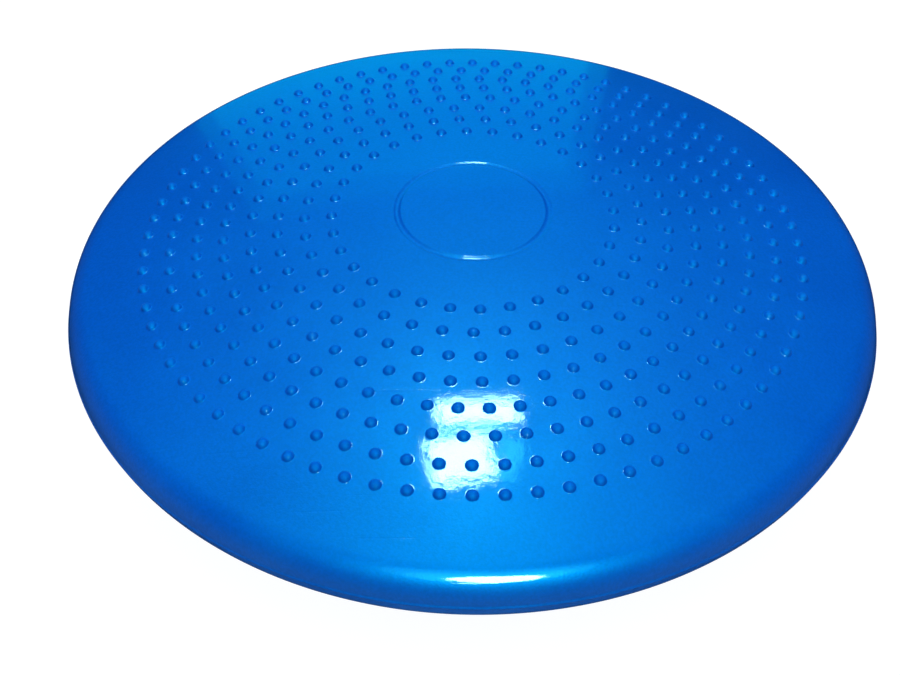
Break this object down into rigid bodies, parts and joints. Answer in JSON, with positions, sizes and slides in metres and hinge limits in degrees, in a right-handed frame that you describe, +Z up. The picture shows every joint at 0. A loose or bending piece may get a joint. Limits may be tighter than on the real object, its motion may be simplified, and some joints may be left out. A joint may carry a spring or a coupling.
{
  "type": "wobble cushion",
  "caption": "Inflated round balance cushion: a soft domed disc with rings of massage nubs, a needle valve underneath, and sprung squash and tilt.",
  "frame": {"origin": "centre of the flat patch that the cushion stands on", "axes": "+Z up through the middle of the dome; -Y is the user's side; the valve is underneath at +Y"},
  "size_m": [0.3308, 0.3308, 0.0685],
  "materials": {
    "skin": "glossy soft PVC, slightly scuffed",
    "valve_seat": "moulded PVC",
    "valve_rubber": "matt"
  },
  "bodies": {
    "base": {"lower_face": "skin", "valve_seat": "valve_seat", "valve_plug": "valve_rubber"},
    "flank": {"lower_flank": "skin"},
    "rim": {"lower_shoulder": "skin", "parting_bead": "skin", "upper_shoulder": "skin"},
    "top": {"upper_face": "skin"}
  },
  "joints": [
    {"name": "pitch", "type": "hinge", "parent": "base", "child": "flank", "pos_m": [0, 0, 0.0335], "axis": [1, 0, 0], "range_deg": [-5, 5], "stiffness_Nm_per_rad": 40, "deforming": ["lower_flank"]},
    {"name": "roll", "type": "hinge", "parent": "flank", "child": "rim", "pos_m": [0, 0, 0.0335], "axis": [0, 1, 0], "range_deg": [-5, 5], "stiffness_Nm_per_rad": 40},
    {"name": "squash", "type": "slide", "parent": "rim", "child": "top", "axis": [0, 0, 1], "range_m": [-0.005, 0], "stiffness_N_per_m": 20000}
  ]
}
